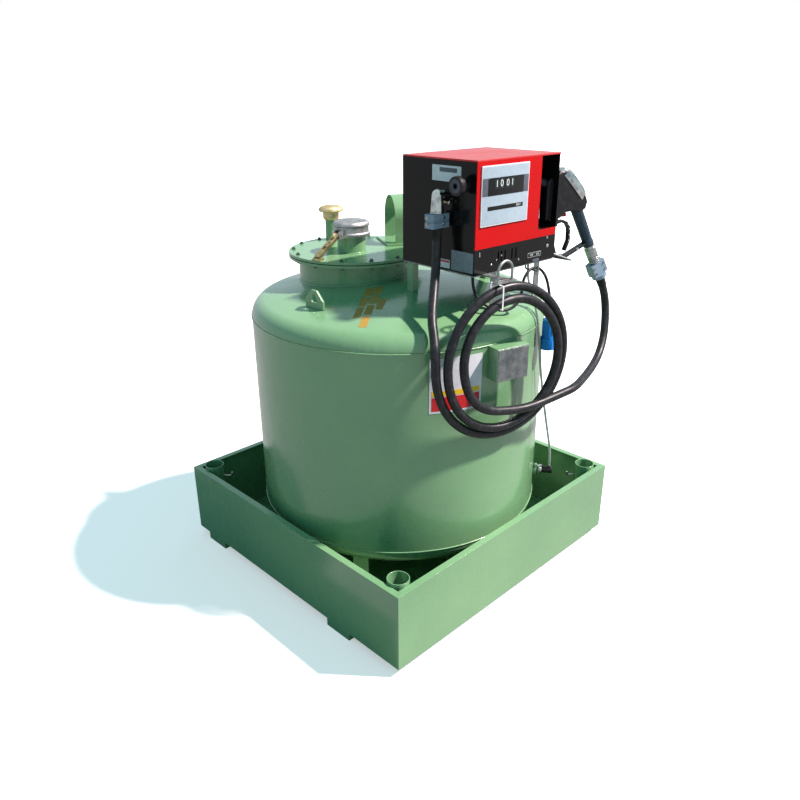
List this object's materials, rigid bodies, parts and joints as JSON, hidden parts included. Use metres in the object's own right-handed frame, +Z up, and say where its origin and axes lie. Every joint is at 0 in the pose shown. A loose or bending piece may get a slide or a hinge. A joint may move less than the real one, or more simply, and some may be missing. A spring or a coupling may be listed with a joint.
{
  "type": "fuel dispensing tank",
  "caption": "Upright round green fuel tank in a square spill basin, with an electric pump cabinet, a coiled hose and a nozzle.",
  "frame": {"origin": "centre of the basin's footprint, on the ground", "axes": "+Z up; -Y is the wall in front of the cabinet's meter; -X is the wall in front of the filler side; +X right"},
  "size_m": [1.2216, 1.293, 1.58],
  "materials": {
    "green_paint": "satin green enamel, lightly dusty",
    "gasket_rubber": "matt black rubber",
    "cast_aluminium": "cast, dull and lightly marked",
    "zinc_steel": "zinc plated, dull",
    "aged_brass": "dull old brass",
    "black_paint": "fine textured black coating",
    "red_paint": "gloss red enamel",
    "printed_plate": "pale grey faceplate",
    "black_plastic": "moulded black",
    "bright_fitting": "bright plated",
    "grey_clamp": "dark grey coated",
    "blue_grey_grip": "dark blue-grey moulded grip",
    "black_hose": "smooth black rubber with a soft shine",
    "blue_plastic": "moulded blue",
    "white_plastic": "moulded white",
    "bare_plate": "bare brushed plate",
    "clear_tube": "cloudy clear tube"
  },
  "bodies": {
    "unit": {"basin_feet": "green_paint", "basin_floor": "green_paint", "basin_wall_back": "green_paint", "basin_wall_front": "green_paint", "basin_wall_left": "green_paint", "basin_wall_right": "green_paint", "cable_tie": "white_plastic", "cord_gland": "black_plastic", "filler_cap": "cast_aluminium", "filler_pipe": "green_paint", "filter_knob": "black_plastic", "fitting_hood": "green_paint", "gauge_boss": "green_paint", "gauge_elbow": "black_plastic", "gauge_nut": "zinc_steel", "gauge_tube": "clear_tube", "hood_plate": "green_paint", "hose_coil": "black_hose", "hose_drop": "black_hose", "hose_hanger": "zinc_steel", "hose_tail": "black_hose", "lifting_lugs": "green_paint", "lock_staple": "zinc_steel", "manway_cover": "green_paint", "manway_gasket": "gasket_rubber", "manway_neck": "green_paint", "meter_plate": "printed_plate", "nameplate": "bare_plate", "nameplate_bracket": "green_paint", "nozzle_body": "black_plastic", "nozzle_guard": "black_plastic", "nozzle_handle": "blue_grey_grip", "nozzle_holster": "black_plastic", "nozzle_hose_clamp": "zinc_steel", "nozzle_rest": "zinc_steel", "nozzle_spout": "bright_fitting", "nozzle_swivel": "zinc_steel", "outlet_elbow": "bright_fitting", "pole_sockets": "green_paint", "power_cord": "black_hose", "power_plug": "blue_plastic", "pump_base": "black_paint", "pump_body": "black_paint", "pump_front_panel": "red_paint", "pump_hose_clamp": "grey_clamp", "pump_lid": "red_paint", "pump_posts": "green_paint", "pump_shelf": "zinc_steel", "pump_struts": "zinc_steel", "socket_hooks": "zinc_steel", "tank_bottom_head": "green_paint", "tank_legs": "green_paint", "tank_shell": "green_paint", "tank_top_head": "green_paint", "vent_cap": "aged_brass", "vent_pipe": "green_paint"},
    "trigger": {"nozzle_trigger": "black_plastic"},
    "lock_bar": {"filler_lock_bar": "zinc_steel"}
  },
  "joints": [
    {"name": "trigger_pull", "type": "hinge", "parent": "unit", "child": "trigger", "pos_m": [0.32425, -0.45697, 1.336], "axis": [-0.2571, -0.9664, 0], "range_deg": [0, 15], "stiffness_Nm_per_rad": 2, "springref_deg": -17.19},
    {"name": "lock_bar_swing", "type": "hinge", "parent": "unit", "child": "lock_bar", "pos_m": [-0.16388, 0.14721, 1.2845], "axis": [-0.1754, 0.9845, 0], "range_deg": [0, 85]}
  ]
}
